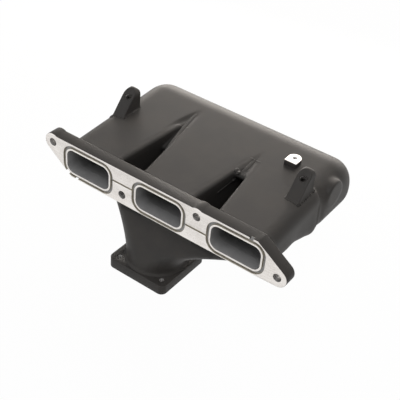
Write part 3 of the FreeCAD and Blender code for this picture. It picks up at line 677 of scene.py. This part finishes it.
def port_gap(x, z):
    """Distance in millimetres from the nearest port's edge: positive on the land round it."""
    gaps = []
    for centre in (-PITCH, 0.0, PITCH):
        across = abs(x - centre) - (PORT_HALF_WIDTH - PORT_CORNER)
        up = abs(z) - (PORT_HALF_HEIGHT - PORT_CORNER)
        outside = math.hypot(max(across, 0), max(up, 0)) + min(max(across, up), 0)
        gaps.append(outside - PORT_CORNER)
    return min(gaps)


def bolt_gap(x, z):
    """Distance in millimetres from the middle of the nearest head bolt."""
    return min(math.hypot(x - bolt_x, z - bolt_z) for bolt_x, bolt_z in BOLTS)


def rear_outline(edge):
    """Whether an edge of the head flange runs round the back of its outline."""
    spots = [(vert.co - HEAD) / MM for vert in edge.verts]
    faces = edge.link_faces
    return (len(faces) == 2 and min(abs(face.normal.y) for face in faces) < 0.1
            and all(spot.y > FLANGE_BACK - 0.01 and port_gap(spot.x, spot.z) > 2.0
                    and bolt_gap(spot.x, spot.z) > 6.0 for spot in spots)
            and max(face.normal.y for face in faces) > 0.9)


# How the head flange's finishes are bounded: the bolt holes' walls and their broken rims, the
# broken edge of the head face, the outer edge of the seal grooves and the start of the ears.
HOLE_WALL = 4.9
HOLE_RIM = 5.5
FACE_EDGE = 0.46
GROOVE_DEPTH = 3.0
GROOVE_REACH = 5.6
EAR_START = 126.0


def flange_finish(place, facing):
    """Which finish a spot of the head flange has: 0 milled, 1 coat, 2 groove, 3 port, 4 hole."""
    gap = port_gap(place.x, place.z)
    bolt = bolt_gap(place.x, place.z)
    if bolt < HOLE_WALL and facing < 0.9:
        return 4
    if place.y < FACE_EDGE and facing > 0.1:
        broken = facing < 0.97 and bolt > HOLE_RIM
        outer_edge = gap > 6.0 and abs(place.z) > 8.0
        return 1 if broken and (outer_edge or abs(place.x) > EAR_START) else 0
    if gap < 0.4:
        return 3
    by_link_groove = abs(abs(place.x) - PITCH / 2) < 12
    if place.y < GROOVE_DEPTH and (gap < GROOVE_REACH or facing > 0.5 or by_link_groove):
        return 1 if gap > GROOVE_REACH and facing < 0.5 and abs(place.z) > 8 else 2
    return 1


def squared_ports(thing):
    """Close the broken rear edges of the ports, which run on into the runners."""
    step = 0.01
    for vertex in thing.data.vertices:
        place = (vertex.co - HEAD) / MM
        gap = port_gap(place.x, place.z)
        if place.y > FLANGE_BACK - 0.6 and 0.01 < gap < 0.8:
            slope_x = (port_gap(place.x + step, place.z) - gap) / step
            slope_z = (port_gap(place.x, place.z + step) - gap) / step
            vertex.co -= Vector((slope_x, 0.0, slope_z)) * gap * MM


def head_flange(milled, coat, groove, port, hole):
    """The head flange: milled face, dull grooves, charcoal ports and coated edges."""
    thing = bevelled("head_flange", "head_flange_plate", 0.45 * MM, first=(rear_outline, 1.3 * MM))
    squared_ports(thing)
    finished(thing, "head_flange", "machined_flange", milled, coat, groove, port, hole)
    for polygon in thing.data.polygons:
        place = (polygon.center - HEAD) / MM
        polygon.material_index = flange_finish(place, -polygon.normal.y)


def sunk(mesh, depth):
    """Lower the underside of a lug into the skin below it."""
    low = {vert for face in mesh.faces if face.normal.z < -0.2 for vert in face.verts}
    bmesh.ops.translate(mesh, verts=list(low), vec=(0, 0, -depth))


def skin_at(x, y):
    """Height of the outer runners' top, with the round along their outer edge."""
    radius = 14.0
    past = min(max(abs(x) - (PITCH + VALLEY_INNER - radius), 0.0), radius - 0.1)
    return top_at(y) - radius + math.sqrt(radius ** 2 - past ** 2)


def footed(thing, reach):
    """Flare the foot of a lug into a rounded fillet on the skin that it stands on."""
    for vertex in thing.data.vertices:
        place = (vertex.co - HEAD) / MM
        height = max(place.z - skin_at(place.x, place.y), 0.0)
        flat = Vector((vertex.normal.x, vertex.normal.y, 0.0))
        if height < reach and flat.length > 0.3:
            rise = 1 - height / reach
            vertex.co += flat.normalized() * reach * (1 - math.sqrt(1 - rise * rise)) * MM
    thing.data.update()


def lug(node, coat):
    """A lug with softly rounded edges and a filleted foot."""
    mesh = welded_copy(node)
    sunk(mesh, 3.6 * MM)
    thing = eased(voxelled(object_of(mesh, node + "_body"), 0.45 * MM), 22)
    footed(thing, 2.2)
    for polygon in thing.data.polygons:
        polygon.use_smooth = True
    finished(thing, node, "coated_body", coat)


def threaded_insert(mesh, mouth, outward, outer, inner, length, pitch, ends=1):
    """Add a threaded tube that starts at a mouth and runs inwards, as a closed shell.

    The mouth and its lead-in take the second material. With two ends, the far end has a
    lead-in too.
    """
    around = 36
    lead = 0.28 * outer * 0.6
    turn = Vector(outward).to_track_quat("Z", "Y").to_matrix()
    rings = [[(outer, 0.0)] * around, [(outer, length)] * around]
    if ends == 2:
        rings.append([(inner + lead, length)] * around)
    steps = max(int(length / pitch * 8), 8)
    bottom = length - (lead if ends == 2 else 0.0)
    for step in range(steps + 1):
        depth = bottom + (lead - bottom) * step / steps
        phases = [(depth / pitch + spoke / around) % 1.0 for spoke in range(around)]
        rings.append([(inner + 0.3 * pitch * abs(2 * phase - 1), depth) for phase in phases])
    rings.append([(inner + lead, 0.0)] * around)
    made = []
    for ring in rings:
        row = []
        for spoke, (radius, depth) in enumerate(ring):
            angle = 2 * math.pi * spoke / around
            local = Vector((radius * math.cos(angle), radius * math.sin(angle), -depth))
            row.append(mesh.verts.new(Vector(mouth) + turn @ local))
        made.append(row)
    for index, row in enumerate(made):
        following = made[(index + 1) % len(made)]
        by_mouth = index >= len(made) - 2
        for spoke in range(around):
            after = (spoke + 1) % around
            face = mesh.faces.new((row[spoke], row[after], following[after], following[spoke]))
            face.smooth = index > 1 and not by_mouth
            face.material_index = 1 if by_mouth else 0


def inserts(node, name, spots, outer, length, pitch, ends, *materials):
    """The threaded inserts of one node: each spot is a mouth, an outward axis and a bore radius."""
    mesh = bmesh.new()
    for mouth, outward, inner in spots:
        threaded_insert(mesh, mouth, outward, outer, inner, length, pitch, ends)
    bmesh.ops.recalc_face_normals(mesh, faces=mesh.faces)
    finished(object_of(mesh, name), node, "thread_metal", *materials)


def all_inserts(bright, dull, coat):
    """The threads in the lugs, in the throttle flange and in the boss."""
    lugs = [MOUNTS["lug_left_hole"], MOUNTS["lug_right_hole"]]
    inserts("lug_inserts", "lug_threads",
            [(hole["pos_m"], hole["axis"], hole["dims"]["r_mm"] * MM) for hole in lugs],
            3.3 * MM, lugs[0]["dims"]["length_mm"] * MM, 1.0 * MM, 1, bright, coat)
    low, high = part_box("throttle_flange")
    pattern = MOUNTS["throttle_bolts"]["dims"]
    across = pattern["spacing_x_mm"] * MM / 2
    spots = [((x, y, high.z), (0, 0, 1), pattern["hole_r_mm"] * MM)
             for x in (-across, across) for y in (-across, across)]
    inserts("throttle_thread_inserts", "throttle_threads", spots, 3.1 * MM, high.z - low.z,
            1.0 * MM, 2, bright, coat)
    hole = MOUNTS["boss_hole"]
    inserts("boss_insert", "boss_thread",
            [(hole["pos_m"], hole["axis"], hole["dims"]["r_mm"] * MM)],
            2.5 * MM, hole["dims"]["length_mm"] * MM, 0.7 * MM, 1, dull, dull)


def boss(bare, coat):
    """The small boss, coated on its sides and milled on top."""
    thing = bevelled("bracket_boss", "bracket_boss_body", 0.3 * MM)
    finished(thing, "bracket_boss", "bare_boss", bare, coat)
    for polygon in thing.data.polygons:
        polygon.material_index = 0 if polygon.normal.z > 0.3 else 1


# ------------------------------------------------------------------ camera, light and floor

def camera():
    """A camera at the angle that shows the head face, the runner tops and the right end."""
    right = Vector((0.80313, 0.59137, 0.07260))
    down = Vector((0.41174, -0.46279, -0.78505))
    ahead = Vector((-0.43065, 0.66038, -0.61517))
    turn = Matrix((right, -down, -ahead)).transposed().to_4x4()
    data = bpy.data.cameras.new("camera")
    data.sensor_width = 36.0
    data.angle = 2 * math.atan(200 / 869.87)
    data.clip_start = 0.01
    made = bpy.data.objects.new("camera", data)
    made.matrix_world = Matrix.Translation(at(397.09, -534.86, 532.64)) @ turn
    bpy.context.scene.collection.objects.link(made)
    bpy.context.scene.camera = made


def lamp(name, place, aim, size, power, colour):
    """An area lamp that looks from its place towards its aim, hidden from the camera."""
    data = bpy.data.lights.new(name, "AREA")
    data.color = colour
    data.shape = "RECTANGLE"
    data.size, data.size_y = size
    data.energy = power
    made = bpy.data.objects.new(name, data)
    turn = (Vector(aim) - Vector(place)).to_track_quat("-Z", "Y").to_matrix().to_4x4()
    made.matrix_world = Matrix.Translation(place) @ turn
    made.visible_camera = False
    bpy.context.scene.collection.objects.link(made)


def seen_directly(tree):
    """1 for camera, mirror and glass rays, 0 for the rays that only carry light."""
    path = tree.nodes.new("ShaderNodeLightPath")
    total = path.outputs["Is Camera Ray"]
    for name in ("Is Glossy Ray", "Is Transmission Ray"):
        add = tree.nodes.new("ShaderNodeMath")
        add.operation = "MAXIMUM"
        tree.links.new(total, add.inputs[0])
        tree.links.new(path.outputs[name], add.inputs[1])
        total = add.outputs[0]
    return total


def surroundings():
    """A white backdrop that gives only a soft fill of its own."""
    world = bpy.data.worlds.new("studio")
    bpy.context.scene.world = world
    world.use_nodes = True
    tree = world.node_tree
    tree.nodes.clear()
    output = tree.nodes.new("ShaderNodeOutputWorld")
    mix = tree.nodes.new("ShaderNodeMixShader")
    fill = tree.nodes.new("ShaderNodeBackground")
    fill.inputs["Color"].default_value = (1, 1, 1, 1)
    fill.inputs["Strength"].default_value = 0.06
    white = tree.nodes.new("ShaderNodeBackground")
    white.inputs["Color"].default_value = (1, 1, 1, 1)
    tree.links.new(seen_directly(tree), mix.inputs[0])
    tree.links.new(fill.outputs[0], mix.inputs[1])
    tree.links.new(white.outputs[0], mix.inputs[2])
    tree.links.new(mix.outputs[0], output.inputs["Surface"])


def floor():
    """A plain white floor that keeps a faint shadow."""
    mesh = bmesh.new()
    bmesh.ops.create_grid(mesh, x_segments=1, y_segments=1, size=6.0)
    thing = object_of(mesh, "floor")
    for vertex in thing.data.vertices:
        vertex.co.z = cad_box[0][2] - 0.0002
    finish = Finish("floor_white")
    finish.surface(Base_Color=(0.86, 0.86, 0.86, 1), Roughness=0.9)
    tree = finish.tree
    output = next(node for node in tree.nodes if node.type == "OUTPUT_MATERIAL")
    mix = tree.nodes.new("ShaderNodeMixShader")
    glow = tree.nodes.new("ShaderNodeEmission")
    share = tree.nodes.new("ShaderNodeMath")
    share.operation = "MULTIPLY"
    share.inputs[1].default_value = 0.975
    tree.links.new(seen_directly(tree), share.inputs[0])
    tree.links.new(share.outputs[0], mix.inputs[0])
    tree.links.new(finish.shader.outputs[0], mix.inputs[1])
    tree.links.new(glow.outputs[0], mix.inputs[2])
    tree.links.new(mix.outputs[0], output.inputs["Surface"])
    thing.data.materials.append(finish.material)


def lamps():
    """Warm light over the rear rim and the tops, cooler light on the face and the duct."""
    warm = (1.0, 0.93, 0.86)
    cool = (0.98, 0.98, 1.0)
    lamp("top_rear", (-0.1, 0.9, 1.0), (0.0, 0.1, 0.1), (1.4, 0.6), 7.8, warm)
    lamp("rear_left", (-0.7, 1.1, 0.35), (0.0, 0.1, 0.1), (0.9, 0.4), 3.0, warm)
    lamp("rear_low", (-0.17, 0.6, 0.24), (-0.05, 0.12, 0.14), (0.9, 0.16), 3.2, warm)
    lamp("front_left", (-0.9, -1.0, 0.7), (0.0, 0.0, 0.1), (1.0, 1.0), 4.6, cool)
    lamp("front_high", (0.35, -0.6, 1.1), (0.0, 0.0, 0.1), (0.6, 0.6), 5.2, cool)


# ------------------------------------------------------------------ build

# Small chips down to bare metal: on the two lugs, beside the right one and on the flange.
CHIPS = ((at(-102.3, 97.5, 32.0), 1.1 * MM), (at(110.5, 96.8, 47.2), 1.2 * MM),
         (at(117.0, 97.1, 33.3), 1.0 * MM), (at(130.0, 15.4, 11.4), 0.9 * MM))
coat = powder_coat("satin_black_coat", chips=CHIPS)
port = port_metal("port_charcoal")
bright = bright_thread("bright_thread")
drilled = drilled_metal("drilled_hole")

bpy.context.scene.view_settings.view_transform = "Standard"
camera()
surroundings()
floor()
lamps()
body_pieces(coat, port)
head_flange(milled_metal("milled_face"), coat, groove_metal("groove_floor"), port, drilled)
lug("lug_left", coat)
lug("lug_right", coat)
boss(milled_metal("boss_top", 0.66), coat)
finished(bevelled("throttle_flange", "throttle_flange_plate", 0.9 * MM, 3), "throttle_flange",
         "coated_body", coat)
all_inserts(bright, drilled, coat)
weld_finishes = NODES["throttle_flange_weld"].data.materials
weld_finishes.clear()
weld_finishes.append(coat)
